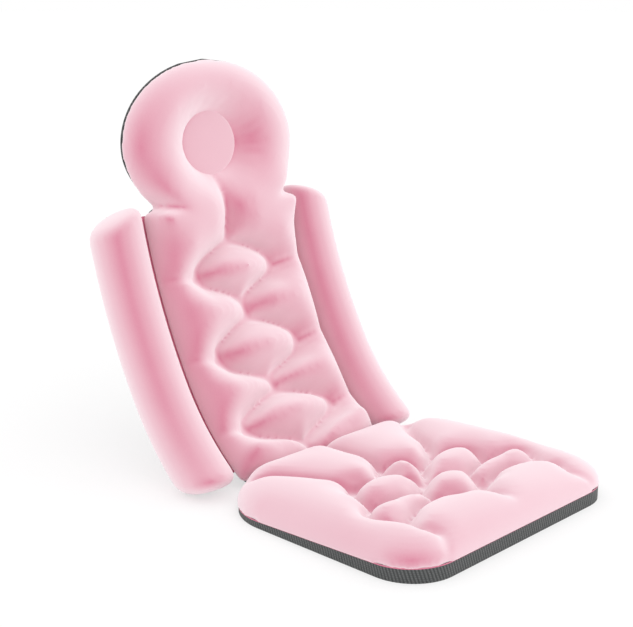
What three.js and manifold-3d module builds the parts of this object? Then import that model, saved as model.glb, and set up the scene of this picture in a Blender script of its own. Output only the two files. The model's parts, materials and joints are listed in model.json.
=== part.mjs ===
// Full-body bath pillow: a quilted seat and a curved back with a head ring, joined by a fabric fold.
// Round bolsters are sewn along both edges of the back, and suction cups hold it to the tub.
// Millimetres, +Z up, +X across, the seat reaches towards -Y. The seat's base lies on Z = 0.

import * as THREE from 'three';
import { mergeVertices } from 'three/addons/utils/BufferGeometryUtils.js';
import Module from 'manifold-3d';

const wasm = await Module();
wasm.setup();

// Gaps and fabrics
const GAP = 0.3; // between pieces that lie against each other
const COVER = 3; // knit cover with its wadding at the thinnest place, in a crease
const HEM = 3; // height of the cover's sewn edge
const MESH = 3; // spacer mesh of the two bases

// Seat
const SEAT_WIDTH = 400;
const SEAT_DEPTH = 336;
const SEAT_FRONT_RADIUS = 60;
const SEAT_REAR_RADIUS = 85;
const SEAT_CROWN = 35; // chambers above the cover's hem
const SEAT_CREASE = 22; // depth of a sewn crease below the chambers
const SEAT_EDGE_ROUND = 54; // how far in from the edge the cover goes on rising
const BORDER_FRONT = 18.5; // top of the mesh border above the floor
const BORDER_REAR = 6;
const BORDER_WALL = 4;

// Fold between seat and back
const FOLD_HEIGHT = 2; // fold line above the floor
const SEAT_TO_FOLD = 8; // seat's rear edge to the fold line
const FOLD_TO_BACK = 9; // fold line to the back's lower edge
const WEB = 2; // thickness of the joining strips

// Back, measured along its curve from the lower edge
const BACK_LEAN = 34.8; // degrees above the floor at the fold
const LUMBAR_RADIUS = 358;
const LUMBAR_LENGTH = 156;
const UPPER_RADIUS = 782;
const TORSO_HALF_WIDTH = 131;
const TORSO_LENGTH = 396; // lower edge to the shoulders
const TORSO_CORNER = 14;
const BACK_CROWN = 34;
const BACK_CREASE = 23; // depth of a sewn crease below the chambers
const BACK_EDGE_ROUND = 48;

// Head ring and its recess
const HEAD_HALF_WIDTH = 149;
const HEAD_HALF_HEIGHT = 115;
const HEAD_RISE = 82; // ring's centre above the shoulders
const HEAD_EXTRA_CROWN = 3; // how much fuller the ring is than the torso
const HEAD_EDGE_ROUND = 60;
const RECESS_HALF_WIDTH = 48;
const RECESS_HALF_HEIGHT = 44.5;
const RECESS_FLARE = 30; // how far the ring's inner wall leans back

// Side bolsters
const BOLSTER_RADIUS = 38.5;
const BOLSTER_TO_TORSO = 5; // width of the joining strip
const BOLSTER_DROP = 4; // bolster's middle behind the front of the back's mesh
const BOLSTER_END_ROUND = 18;
const BOLSTER_SKIN = 2.5;
const BOLSTER_BELOW_SHOULDER = 6; // upper end below the shoulders
const BOLSTER_SLANT = 0.4; // how much lower the upper end is on its outer side
const FOOT_TILT = 0.6; // how much lower the lower end is in front, where it stands on the floor
const SEAM_SLOT = 2.6; // opening of the bolster cover, closed by the joining strip
const SEAM_DEPTH = 4; // joining strip sewn into the bolster

// Suction cups and eyelets
const CUP_RADIUS = 26;
const CUP_DEPTH = 13;
const CUP_LIP = 4; // flat rim that seals on the tub
const CUP_RIM = 1.1; // height of the rim's edge
const CUP_SHOULDER_RADIUS = 8;
const CUP_WAIST_RADIUS = 9;
const CUP_WAIST = 4.5; // waist below the shoulder
const CUP_BELL_RADIUS = 18;
const CUP_BELL = 8.8; // bell below the shoulder
const CUP_HOLLOW_RADIUS = 14;
const CUP_HOLLOW = 3.9; // hollow above the rim, at that radius
const CUP_HOLLOW_TOP = 5.5; // hollow above the rim, in the middle
const STUD_RADIUS = 4.5;
const STUD_HEAD_RADIUS = 7;
const STUD_HEAD_TOP_RADIUS = 5;
const STUD_HEAD_ROUND = 1.8;
const STUD_HEAD = 3;
const EYELET_WALL = 1.2;
const EYELET_FLANGE = 3.2;
const EYELET_PLATE = 0.8;
const CUP_ACROSS = 82; // of the two rows on the torso
const LUMBAR_CUP = 120; // above the back's lower edge
const SHOULDER_CUP = 66; // below the shoulders
const HEAD_CUP_ACROSS = 84;
const HEAD_CUP = 44; // above the ring's centre

// Facets
const END_ZONE = 60; // the part of a pad's length that its inset moves
const EVEN_COLUMNS = 0.62; // share of even spacing across a pad, against closer columns near its edges
const SEAT_COLUMNS = 26;
const SEAT_ROWS = { ends: 7, between: 15 };
const SEAT_FEW_ROWS = { ends: 5, between: 4 };
const BACK_COLUMNS = 18;
const TORSO_ROWS = { ends: 3, between: 18 };
const HEAD_ROWS = { ends: 4, between: 30 };
const HEAD_END = 92; // closer rows in the top of the ring
const FEW_STEP = 3; // a plain surface of the back keeps every third row, and all near the neck and the top
const NECK_ZONE = 40;
const CORE_COLUMNS = 4;
const TUBE_SIDES = 16;
const BOLSTER_ROWS = { ends: 4, between: 10 };
const STRIP_STEPS = 14;
const ROUND_SIDES = 12;
const RECESS_SIDES = 18;
const FLARE_STEPS = 4;
const PANEL_ROWS = 12;

// Sewn creases of the right half, as [across, along] points, with the depth at each line's two ends.
// Seat: along is counted from the seat's rear edge towards the front.
const SEAT_CREASES = [
  { depth: [0.9, 1], line: [[0, 4], [0, 60], [0, 113]] },
  { depth: [1, 1], line: [[0, 113], [16, 118], [28, 132], [28, 145]] },
  { depth: [1, 1], line: [[28, 145], [50, 143], [76, 134]] },
  { depth: [1, 0.7], line: [[76, 134], [93, 110], [107, 80], [128, 48], [146, 30]] },
  { depth: [1, 0.9], line: [[76, 134], [101, 150], [113, 172], [108, 198]] },
  { depth: [1, 1], line: [[28, 145], [23, 162], [0, 184]] },
  { depth: [1, 1], line: [[0, 184], [20, 193], [38, 204], [66, 205], [108, 198]] },
  { depth: [1, 1], line: [[38, 204], [43, 225], [34, 247]] },
  { depth: [0.8, 0.6], line: [[108, 198], [135, 205], [150, 222], [144, 246], [128, 258]] },
  { depth: [1, 0.8], line: [[34, 247], [60, 241], [95, 244], [128, 258]] },
  { depth: [1, 1], line: [[34, 247], [18, 254], [0, 264]] },
  { depth: [1, 0.1], line: [[0, 264], [0, 300], [0, 334]] },
  { depth: [0.8, 0.2], line: [[128, 258], [136, 284], [130, 310], [142, 330]] },
];
const SEAT_CREASE_WIDTH = 18;

// Back: along is counted from the back's lower edge.
const BACK_CREASES = [
  { depth: [1, 1], line: [[0, 0], [0, 34]] },
  { depth: [1, 0.9], line: [[0, 34], [20, 50], [45, 64], [88, 72]] },
  { depth: [1, 0.9], line: [[88, 82], [55, 92], [22, 106], [0, 116]] },
  { depth: [1, 1], line: [[0, 116], [0, 138]] },
  { depth: [1, 0.9], line: [[0, 138], [14, 150], [36, 160], [78, 178]] },
  { depth: [1, 0.9], line: [[78, 190], [58, 204], [30, 212], [0, 228]] },
  { depth: [1, 1], line: [[0, 228], [0, 249]] },
  { depth: [1, 0.9], line: [[0, 249], [14, 270], [38, 284], [74, 294]] },
  { depth: [1, 0.9], line: [[74, 302], [50, 318], [20, 330], [0, 339]] },
  { depth: [1, 0.8], line: [[0, 339], [0, 385], [0, 432]] },
];
const BACK_CREASE_WIDTH = 18;

// Lengths along the back that follow from these sizes
const HEAD_CENTRE = TORSO_LENGTH + HEAD_RISE;
const BACK_LENGTH = HEAD_CENTRE + HEAD_HALF_HEIGHT;
const BOLSTER_TOP = TORSO_LENGTH - BOLSTER_BELOW_SHOULDER;
const CUP_ROWS = [
  { name: 'lumbar', across: CUP_ACROSS, along: LUMBAR_CUP },
  { name: 'shoulder', across: CUP_ACROSS, along: TORSO_LENGTH - SHOULDER_CUP },
  { name: 'head', across: HEAD_CUP_ACROSS, along: HEAD_CENTRE + HEAD_CUP },
];

const KNIT_PINK = 0xeebcc8;
const MESH_GREY = 0x56585a;
const FIBRE_WHITE = 0xf3f0ea;
const CUP_CLEAR = 0xd9e2e6;
const EYELET_SILVER = 0xc4c6c8;

// Solids

function solidOf(positions, index) {
  const geometry = new THREE.BufferGeometry();
  geometry.setAttribute('position', new THREE.Float32BufferAttribute(positions, 3));
  geometry.setIndex(index);
  return geometry;
}

function signedVolume(positions, index) {
  const [a, b, c] = [new THREE.Vector3(), new THREE.Vector3(), new THREE.Vector3()];
  let volume = 0;
  for (let i = 0; i < index.length; i += 3) {
    a.fromArray(positions, 3 * index[i]);
    b.fromArray(positions, 3 * index[i + 1]);
    c.fromArray(positions, 3 * index[i + 2]);
    volume += a.dot(b.cross(c)) / 6;
  }
  return volume;
}

// A closed solid through loops of equal length, with a fan over each end.
// Each facet is split along its shorter diagonal, which keeps creases smooth.
function loft(loops) {
  const count = loops[0].length;
  const points = loops.flat();
  const positions = points.flatMap((point) => point.toArray());
  const index = [];
  for (let row = 0; row + 1 < loops.length; row += 1) {
    for (let i = 0; i < count; i += 1) {
      const [a, b] = [row * count + i, row * count + ((i + 1) % count)];
      const [c, d] = [b + count, a + count];
      const split = points[a].distanceTo(points[c]) <= points[b].distanceTo(points[d]);
      index.push(...(split ? [a, b, c, a, c, d] : [a, b, d, b, c, d]));
    }
  }
  for (const row of [0, loops.length - 1]) {
    const middle = loops[row].reduce((sum, point) => sum.add(point), new THREE.Vector3());
    middle.divideScalar(count);
    const centre = positions.length / 3;
    positions.push(...middle.toArray());
    for (let i = 0; i < count; i += 1) {
      const here = row * count + i;
      const next = row * count + ((i + 1) % count);
      index.push(...(row === 0 ? [centre, next, here] : [centre, here, next]));
    }
  }
  if (signedVolume(positions, index) < 0) {
    index.reverse();
  }
  return solidOf(positions, index);
}

function manifoldOf(geometry) {
  const bare = geometry.clone();
  bare.deleteAttribute('normal');
  bare.deleteAttribute('uv');
  const merged = mergeVertices(bare, 1e-4);
  const vertProperties = new Float32Array(merged.attributes.position.array);
  const triVerts = new Uint32Array(merged.index.array);
  return new wasm.Manifold(new wasm.Mesh({ numProp: 3, vertProperties, triVerts }));
}

function geometryOf(manifold) {
  const mesh = manifold.getMesh();
  return solidOf(Array.from(mesh.vertProperties), Array.from(mesh.triVerts));
}

function subtract(geometry, ...tools) {
  const solid = tools.reduce((left, tool) => left.subtract(manifoldOf(tool)), manifoldOf(geometry));
  return geometryOf(solid);
}

function intersect(geometry, tool) {
  return geometryOf(manifoldOf(geometry).intersect(manifoldOf(tool)));
}

// Places on the seat and on the back, from across, along and height above the mesh

function onSeat(across, along, height) {
  return new THREE.Vector3(across, -SEAT_TO_FOLD - along, height);
}

function leanAt(along) {
  const lean = THREE.MathUtils.degToRad(BACK_LEAN);
  const lumbar = Math.min(along, LUMBAR_LENGTH) / LUMBAR_RADIUS;
  const upper = Math.max(along - LUMBAR_LENGTH, 0) / UPPER_RADIUS;
  return lean + lumbar + upper;
}

function onBack(across, along, height) {
  const start = leanAt(0);
  const middle = leanAt(Math.min(along, LUMBAR_LENGTH));
  const lean = leanAt(along);
  const y = FOLD_TO_BACK * Math.cos(start)
    + LUMBAR_RADIUS * (Math.sin(middle) - Math.sin(start))
    + UPPER_RADIUS * (Math.sin(lean) - Math.sin(middle));
  const z = FOLD_HEIGHT + FOLD_TO_BACK * Math.sin(start)
    + LUMBAR_RADIUS * (Math.cos(start) - Math.cos(middle))
    + UPPER_RADIUS * (Math.cos(middle) - Math.cos(lean));
  return new THREE.Vector3(across, y - height * Math.sin(lean), z + height * Math.cos(lean));
}

// Moves a piece modelled about Z so that Z becomes the back's front normal at a place
function seatedOnBack(geometry, across, along) {
  const place = new THREE.Object3D();
  place.position.copy(onBack(across, along, 0));
  place.rotation.x = leanAt(along);
  place.updateMatrix();
  return geometry.clone().applyMatrix4(place.matrix);
}

// Outlines and crowns

function roundedHalfWidth(along, length, halfWidth, radiusLow, radiusHigh) {
  const low = Math.max(0, radiusLow - along);
  const high = Math.max(0, radiusHigh - (length - along));
  const cutLow = radiusLow - Math.sqrt(Math.max(0, radiusLow ** 2 - low ** 2));
  const cutHigh = radiusHigh - Math.sqrt(Math.max(0, radiusHigh ** 2 - high ** 2));
  return halfWidth - cutLow - cutHigh;
}

// How far inside a rounded rectangle a place lies, negative outside it
function insideRounded(across, along, length, halfWidth, radiusLow, radiusHigh) {
  const radius = along < length / 2 ? radiusLow : radiusHigh;
  const x = Math.abs(across) - (halfWidth - radius);
  const y = Math.abs(along - length / 2) - (length / 2 - radius);
  const corner = Math.hypot(Math.max(x, 0), Math.max(y, 0));
  return radius - corner - Math.min(Math.max(x, y), 0);
}

function insideSeat(across, along) {
  return insideRounded(across, along, SEAT_DEPTH, SEAT_WIDTH / 2, SEAT_REAR_RADIUS, SEAT_FRONT_RADIUS);
}

function seatHalfWidth(along) {
  return roundedHalfWidth(along, SEAT_DEPTH, SEAT_WIDTH / 2, SEAT_REAR_RADIUS, SEAT_FRONT_RADIUS);
}

function insideHead(across, along) {
  const x = across / HEAD_HALF_WIDTH;
  const y = (along - HEAD_CENTRE) / HEAD_HALF_HEIGHT;
  const share = Math.max(Math.hypot(x, y), 0.01);
  const slope = Math.hypot(x / HEAD_HALF_WIDTH, y / HEAD_HALF_HEIGHT) / share;
  return (1 - share) / slope;
}

function insideBack(across, along) {
  const torso = insideRounded(across, along, TORSO_LENGTH, TORSO_HALF_WIDTH, TORSO_CORNER, TORSO_CORNER);
  return Math.max(torso, insideHead(across, along));
}

function backHalfWidth(along) {
  const y = (along - HEAD_CENTRE) / HEAD_HALF_HEIGHT;
  const head = HEAD_HALF_WIDTH * Math.sqrt(Math.max(0, 1 - y * y));
  if (along > TORSO_LENGTH) {
    return head;
  }
  return Math.max(head, roundedHalfWidth(along, TORSO_LENGTH, TORSO_HALF_WIDTH, TORSO_CORNER, TORSO_CORNER));
}

// Rise of a padded cover from its edge: a quarter round over the given width
function edgeRise(inside, width) {
  const share = THREE.MathUtils.clamp(inside / width, 0, 1);
  return Math.sqrt(1 - (1 - share) ** 2);
}

// Share of the full crease depth at a place: 1 on a sewn line, fading over the crease width
function creaseShare(creases, width, across, along) {
  const place = new THREE.Vector3(Math.abs(across), along, 0);
  const nearest = new THREE.Vector3();
  let deepest = 0;
  for (const { depth, line } of creases) {
    for (let i = 0; i + 1 < line.length; i += 1) {
      const segment = new THREE.Line3(new THREE.Vector3(...line[i], 0), new THREE.Vector3(...line[i + 1], 0));
      const share = (i + segment.closestPointToPointParameter(place, true)) / (line.length - 1);
      segment.closestPointToPoint(place, true, nearest);
      const strength = THREE.MathUtils.lerp(depth[0], depth[1], share);
      deepest = Math.max(deepest, strength * Math.exp(-((nearest.distanceTo(place) / width) ** 2)));
    }
  }
  return deepest;
}

function borderTop(along) {
  return THREE.MathUtils.lerp(BORDER_REAR, BORDER_FRONT, along / SEAT_DEPTH);
}

function seatTop(across, along) {
  const crease = SEAT_CREASE * creaseShare(SEAT_CREASES, SEAT_CREASE_WIDTH, across, along);
  const rise = (SEAT_CROWN - crease) * edgeRise(insideSeat(across, along), SEAT_EDGE_ROUND);
  return borderTop(along) + GAP + HEM + rise;
}

function seatLining(across, along) {
  const rise = (SEAT_CROWN - SEAT_CREASE) * edgeRise(insideSeat(across, along), SEAT_EDGE_ROUND);
  return borderTop(along) + GAP + HEM - COVER / 2 + Math.max(rise - COVER / 2, 0);
}

// 0 on the torso, 1 on the head ring
function headShare(along) {
  return THREE.MathUtils.smoothstep(along, TORSO_LENGTH, HEAD_CENTRE);
}

function backRise(across, along, crease) {
  const crown = BACK_CROWN + HEAD_EXTRA_CROWN * headShare(along) - crease;
  const round = THREE.MathUtils.lerp(BACK_EDGE_ROUND, HEAD_EDGE_ROUND, headShare(along));
  return crown * edgeRise(insideBack(across, along), round);
}

function backTop(across, along) {
  const crease = BACK_CREASE * creaseShare(BACK_CREASES, BACK_CREASE_WIDTH, across, along);
  return GAP + HEM + backRise(across, along, crease);
}

function backLining(across, along) {
  return GAP + HEM - COVER / 2 + Math.max(backRise(across, along, BACK_CREASE) - COVER / 2, 0);
}

// Padded solids

// Stations along a pad: close together in its rounded ends, even between them
function stations(length, endLow, endHigh, { ends, between }) {
  const list = [];
  for (let i = 0; i <= ends; i += 1) {
    list.push(endLow * (1 - Math.cos((i / ends) * (Math.PI / 2))));
  }
  for (let i = 1; i < between; i += 1) {
    list.push(THREE.MathUtils.lerp(endLow, length - endHigh, i / between));
  }
  for (let i = ends; i >= 0; i -= 1) {
    list.push(length - endHigh * (1 - Math.cos((i / ends) * (Math.PI / 2))));
  }
  return list;
}

// Columns from -1 to 1, a little closer together near the edges
function columnShare(i, columns) {
  const share = (2 * i) / columns - 1;
  return THREE.MathUtils.lerp(Math.sin(share * (Math.PI / 2)), share, EVEN_COLUMNS);
}

// Stations drawn in by an inset: those near an end move, and the ones between stay
function inner(list, inset) {
  const length = list[list.length - 1];
  return list.map((station) => {
    const low = inset * Math.max(0, 1 - station / END_ZONE);
    const high = inset * Math.max(0, 1 - (length - station) / END_ZONE);
    return station + low - high;
  });
}

// A pad between a top surface and a plain underside, drawn in from its outline by an inset
function pad({ place, along, halfWidth, inset, columns, top, under }) {
  const drawnIn = inner(along, inset);
  const loops = along.map((original, row) => {
    const station = drawnIn[row];
    const width = Math.max(halfWidth(original) - inset, inset);
    const loop = [];
    for (let i = 0; i <= columns; i += 1) {
      const across = width * columnShare(i, columns);
      loop.push(place(across, station, top(across, station)));
    }
    loop.push(place(width, station, under(station)));
    loop.push(place(-width, station, under(station)));
    return loop;
  });
  return loft(loops);
}

// Seat

const SEAT_STATIONS = stations(SEAT_DEPTH, SEAT_REAR_RADIUS, SEAT_FRONT_RADIUS, SEAT_ROWS);
const SEAT_FEW_STATIONS = stations(SEAT_DEPTH, SEAT_REAR_RADIUS, SEAT_FRONT_RADIUS, SEAT_FEW_ROWS);

function seatPad(inset, columns, along, top, under) {
  return pad({ place: onSeat, along, halfWidth: seatHalfWidth, inset, columns, top, under });
}

function makeSeatCover() {
  const outside = seatPad(0, SEAT_COLUMNS, SEAT_STATIONS, seatTop, (along) => borderTop(along) + GAP);
  const under = (along) => borderTop(along) - HEM;
  const inside = seatPad(COVER, CORE_COLUMNS, SEAT_FEW_STATIONS, seatLining, under);
  return subtract(outside, inside);
}

function makeSeatCore() {
  const top = (across, along) => seatLining(across, along) - GAP;
  const under = () => MESH + GAP;
  const core = seatPad(COVER, CORE_COLUMNS, SEAT_FEW_STATIONS, top, under);
  const walls = seatPad(BORDER_WALL + GAP, 2, SEAT_FEW_STATIONS, () => BORDER_FRONT + SEAT_CROWN, under);
  return intersect(core, walls);
}

function makeSeatBorder() {
  const under = () => MESH + GAP;
  const level = (across, along) => borderTop(along);
  const outside = seatPad(0, 2, SEAT_FEW_STATIONS, level, under);
  const above = (across, along) => borderTop(along) + HEM;
  const inside = seatPad(BORDER_WALL, 2, SEAT_FEW_STATIONS, above, () => 0);
  return subtract(outside, inside);
}

function makeSeatBase() {
  return seatPad(0, 2, SEAT_FEW_STATIONS, () => MESH, () => 0);
}

// Fold

function makeHingeWeb() {
  const half = SEAT_WIDTH / 2 - SEAT_REAR_RADIUS;
  const middle = MESH / 2;
  const edges = [
    (across, height) => onSeat(across, -GAP, middle + height),
    (across, height) => new THREE.Vector3(across, 0, FOLD_HEIGHT + height),
    (across, height) => onBack(across, -GAP, height - middle),
  ];
  const corners = [[-half, -WEB / 2], [half, -WEB / 2], [half, WEB / 2], [-half, WEB / 2]];
  return loft(edges.map((edge) => corners.map(([across, height]) => edge(across, height))));
}

// Back

const BACK_STATIONS = [
  ...stations(TORSO_LENGTH, TORSO_CORNER, TORSO_CORNER, TORSO_ROWS).slice(0, -1),
  ...stations(BACK_LENGTH, TORSO_CORNER, HEAD_END, HEAD_ROWS).filter((s) => s > TORSO_LENGTH + GAP),
];
const BACK_FEW_STATIONS = BACK_STATIONS.filter((station, i) => {
  const nearNeck = Math.abs(station - TORSO_LENGTH) < NECK_ZONE;
  return nearNeck || i % FEW_STEP === 0 || i >= BACK_STATIONS.length - FEW_STEP;
});

function backPad(inset, columns, along, top, under) {
  return pad({ place: onBack, along, halfWidth: backHalfWidth, inset, columns, top, under });
}

// The space in the head ring: a round well that flares towards the front
function recess(grow) {
  const rise = GAP + HEM + BACK_CROWN + HEAD_EXTRA_CROWN;
  const round = RECESS_HALF_HEIGHT + grow;
  const profile = [new THREE.Vector2(0, -rise), new THREE.Vector2(round, -rise)];
  for (let i = 0; i <= FLARE_STEPS; i += 1) {
    const turn = (i / FLARE_STEPS) * (Math.PI / 2);
    const radius = round + RECESS_FLARE * (1 - Math.cos(turn));
    profile.push(new THREE.Vector2(radius, HEM + (rise - HEM) * Math.sin(turn)));
  }
  profile.push(new THREE.Vector2(round + RECESS_FLARE, 2 * rise), new THREE.Vector2(0, 2 * rise));
  const well = aboutZ(profile, RECESS_SIDES).scale((RECESS_HALF_WIDTH + grow) / round, 1, 1);
  return seatedOnBack(well, 0, HEAD_CENTRE);
}

// A body of revolution about Z from [radius, height] points
function aboutZ(profile, sides) {
  return new THREE.LatheGeometry(profile, sides).rotateX(Math.PI / 2);
}

function makeBackCover() {
  const outside = backPad(0, BACK_COLUMNS, BACK_STATIONS, backTop, () => GAP);
  const inside = backPad(COVER, CORE_COLUMNS, BACK_FEW_STATIONS, backLining, () => -HEM);
  return subtract(subtract(outside, recess(0)), subtract(inside, recess(COVER)));
}

function makeBackCore() {
  const top = (across, along) => backLining(across, along) - 2 * GAP;
  const whole = backPad(COVER, CORE_COLUMNS, BACK_FEW_STATIONS, top, () => GAP);
  const walls = backPad(COVER + GAP, 2, BACK_FEW_STATIONS, () => BACK_CROWN + HEAD_EXTRA_CROWN, () => GAP);
  const core = intersect(whole, walls);
  const pockets = cupPlaces().map(({ across, along }) => {
    const radius = STUD_HEAD_RADIUS + EYELET_FLANGE;
    const height = STUD_TOP + 2 * GAP;
    const hole = new THREE.CylinderGeometry(radius, radius, 2 * height, ROUND_SIDES).rotateX(Math.PI / 2);
    return seatedOnBack(hole, across, along);
  });
  return subtract(core, recess(COVER + 2 * GAP), ...pockets);
}

function makeBackBase() {
  const base = backPad(0, 2, BACK_STATIONS, () => 0, () => -MESH);
  const holes = cupPlaces().map(({ across, along }) => {
    const radius = STUD_RADIUS + EYELET_WALL + 2 * GAP;
    const hole = new THREE.CylinderGeometry(radius, radius, 4 * MESH, ROUND_SIDES).rotateX(Math.PI / 2);
    return seatedOnBack(hole, across, along);
  });
  return subtract(base, ...holes);
}

function makeRecessPanel() {
  const radius = RECESS_HALF_HEIGHT * Math.cos(Math.PI / RECESS_SIDES) - GAP;
  const stretch = RECESS_HALF_WIDTH / RECESS_HALF_HEIGHT;
  const along = [];
  for (let i = 0; i < PANEL_ROWS; i += 1) {
    along.push(HEAD_CENTRE - radius * Math.cos(((i + 0.5) / PANEL_ROWS) * Math.PI));
  }
  const halfWidth = (station) => stretch * Math.sqrt(radius ** 2 - (station - HEAD_CENTRE) ** 2);
  const top = () => GAP + HEM / 2;
  return pad({ place: onBack, along, halfWidth, inset: 0, columns: 2, top, under: () => GAP });
}

// Suction cups, each with its stud through an eyelet in the mesh

const STUD_NECK = EYELET_PLATE + 2 * GAP;
const STUD_TOP = STUD_NECK + STUD_HEAD;

function cupPlaces() {
  return CUP_ROWS.flatMap(({ name, across, along }) => [
    { name: `${name}_left`, across: -across, along },
    { name: `${name}_right`, across, along },
  ]);
}

function makeCup() {
  const neck = -MESH - STUD_NECK;
  const rim = neck - CUP_DEPTH;
  const profile = [
    [0, STUD_TOP], [STUD_HEAD_TOP_RADIUS, STUD_TOP], [STUD_HEAD_RADIUS, STUD_TOP - STUD_HEAD_ROUND],
    [STUD_HEAD_RADIUS, STUD_NECK], [STUD_RADIUS, STUD_NECK], [STUD_RADIUS, neck],
    [CUP_SHOULDER_RADIUS, neck], [CUP_WAIST_RADIUS, neck - CUP_WAIST], [CUP_BELL_RADIUS, neck - CUP_BELL],
    [CUP_RADIUS, rim + CUP_RIM], [CUP_RADIUS, rim], [CUP_RADIUS - CUP_LIP, rim],
    [CUP_HOLLOW_RADIUS, rim + CUP_HOLLOW], [0, rim + CUP_HOLLOW_TOP],
  ];
  return aboutZ(profile.reverse().map(([x, y]) => new THREE.Vector2(x, y)), ROUND_SIDES);
}

function makeEyelet() {
  const bore = STUD_RADIUS + GAP;
  const wall = bore + EYELET_WALL;
  const flange = wall + EYELET_FLANGE;
  const front = GAP;
  const rear = -MESH - GAP;
  const profile = [
    [bore, front + EYELET_PLATE], [flange, front + EYELET_PLATE], [flange, front], [wall, front],
    [wall, rear], [flange, rear], [flange, rear - EYELET_PLATE], [bore, rear - EYELET_PLATE],
    [bore, front + EYELET_PLATE],
  ];
  return aboutZ(profile.reverse().map(([x, y]) => new THREE.Vector2(x, y)), ROUND_SIDES);
}

// Bolsters and the strips that join them to the back

const BOLSTER_ACROSS = TORSO_HALF_WIDTH + BOLSTER_TO_TORSO + BOLSTER_RADIUS;
const SEAM_HEIGHT = -MESH / 2;

// Rings of a bolster whose lower end is at a given station, drawn in all round by an inset.
// They lean from the tilted foot to the slanted upper end.
function bolsterRings(side, bottom, inset) {
  const radius = BOLSTER_RADIUS - inset;
  const round = BOLSTER_END_ROUND - inset;
  const length = BOLSTER_TOP - bottom - 2 * inset;
  return stations(length, round, round, BOLSTER_ROWS).map((station) => {
    const end = Math.max(0, round - Math.min(station, length - station));
    const ring = radius - round + Math.sqrt(Math.max(0, round ** 2 - end ** 2));
    const share = station / length;
    const loop = [];
    for (let i = 0; i < TUBE_SIDES; i += 1) {
      const turn = (i / TUBE_SIDES) * 2 * Math.PI;
      const outward = ring * Math.cos(turn);
      const forward = ring * Math.sin(turn);
      const lowered = BOLSTER_SLANT * share * outward + FOOT_TILT * (1 - share) * forward;
      const along = bottom + inset + station - lowered;
      loop.push(onBack(side * (BOLSTER_ACROSS + outward), along, forward - BOLSTER_DROP));
    }
    return loop;
  });
}

// The bolster's lower end rests on the floor: the station where its lowest point just touches it
function findBolsterBottom() {
  const lowest = (bottom) => Math.min(...bolsterRings(1, bottom, 0).flat().map((point) => point.z));
  let low = -BOLSTER_RADIUS;
  let high = BOLSTER_TOP / 2;
  for (let i = 0; i < 40; i += 1) {
    const middle = (low + high) / 2;
    if (lowest(middle) < 0) {
      low = middle;
    } else {
      high = middle;
    }
  }
  return high;
}

const BOLSTER_BOTTOM = findBolsterBottom();

function bolsterTube(side, inset) {
  return loft(bolsterRings(side, BOLSTER_BOTTOM, inset));
}

// A flat strip that follows the back, between two distances across it
function strip(side, from, to, thickness, low, high) {
  const loops = [];
  for (let i = 0; i <= STRIP_STEPS; i += 1) {
    const along = THREE.MathUtils.lerp(low, high, i / STRIP_STEPS);
    const [down, up] = [SEAM_HEIGHT - thickness / 2, SEAM_HEIGHT + thickness / 2];
    const corners = [[from, down], [to, down], [to, up], [from, up]];
    loops.push(corners.map(([across, height]) => onBack(side * across, along, height)));
  }
  return loft(loops);
}

const SEAM_LOW = BOLSTER_BOTTOM + BOLSTER_END_ROUND;
const SEAM_HIGH = BOLSTER_TOP - BOLSTER_END_ROUND;
const SEAM_EDGE = BOLSTER_ACROSS - BOLSTER_RADIUS; // bolster's edge nearest the back

function makeBolsterCover(side) {
  const outside = bolsterTube(side, 0);
  const inside = bolsterTube(side, BOLSTER_SKIN);
  const slot = strip(side, SEAM_EDGE - GAP, SEAM_EDGE + 3 * BOLSTER_SKIN, SEAM_SLOT, SEAM_LOW, SEAM_HIGH);
  return subtract(outside, inside, slot);
}

function makeBolsterFill(side) {
  const fill = bolsterTube(side, BOLSTER_SKIN + GAP);
  const slot = strip(side, SEAM_EDGE, SEAM_EDGE + SEAM_DEPTH + GAP, SEAM_SLOT, SEAM_LOW, SEAM_HIGH);
  return subtract(fill, slot);
}

function makeWingWeb(side) {
  const edge = TORSO_HALF_WIDTH + GAP;
  return strip(side, edge, SEAM_EDGE + SEAM_DEPTH, WEB, SEAM_LOW + GAP, SEAM_HIGH - TORSO_CORNER);
}

// Assembly

const group = new THREE.Group();

function add(name, geometry, color, roughness, metalness = 0) {
  const mesh = new THREE.Mesh(geometry, new THREE.MeshStandardMaterial({ color, roughness, metalness }));
  mesh.name = name;
  group.add(mesh);
}

add('seat_cover', makeSeatCover(), KNIT_PINK, 0.85);
add('seat_core', makeSeatCore(), FIBRE_WHITE, 0.95);
add('seat_border', makeSeatBorder(), MESH_GREY, 0.8);
add('seat_base', makeSeatBase(), MESH_GREY, 0.8);
add('hinge_web', makeHingeWeb(), MESH_GREY, 0.8);
add('back_cover', makeBackCover(), KNIT_PINK, 0.85);
add('back_core', makeBackCore(), FIBRE_WHITE, 0.95);
add('back_base', makeBackBase(), MESH_GREY, 0.8);
add('head_recess_panel', makeRecessPanel(), KNIT_PINK, 0.85);
for (const { name, across, along } of cupPlaces()) {
  add(`cup_${name}`, seatedOnBack(makeCup(), across, along), CUP_CLEAR, 0.25);
  add(`eyelet_${name}`, seatedOnBack(makeEyelet(), across, along), EYELET_SILVER, 0.35, 0.9);
}
for (const [name, side] of [['left', -1], ['right', 1]]) {
  add(`bolster_cover_${name}`, makeBolsterCover(side), KNIT_PINK, 0.85);
  add(`bolster_fill_${name}`, makeBolsterFill(side), FIBRE_WHITE, 0.95);
  add(`wing_web_${name}`, makeWingWeb(side), KNIT_PINK, 0.85);
}

// The origin is under the middle of the whole pillow, on the floor
const box = new THREE.Box3().setFromObject(group);
group.position.y = -(box.min.y + box.max.y) / 2;
group.updateMatrixWorld(true);

export default group;
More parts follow.
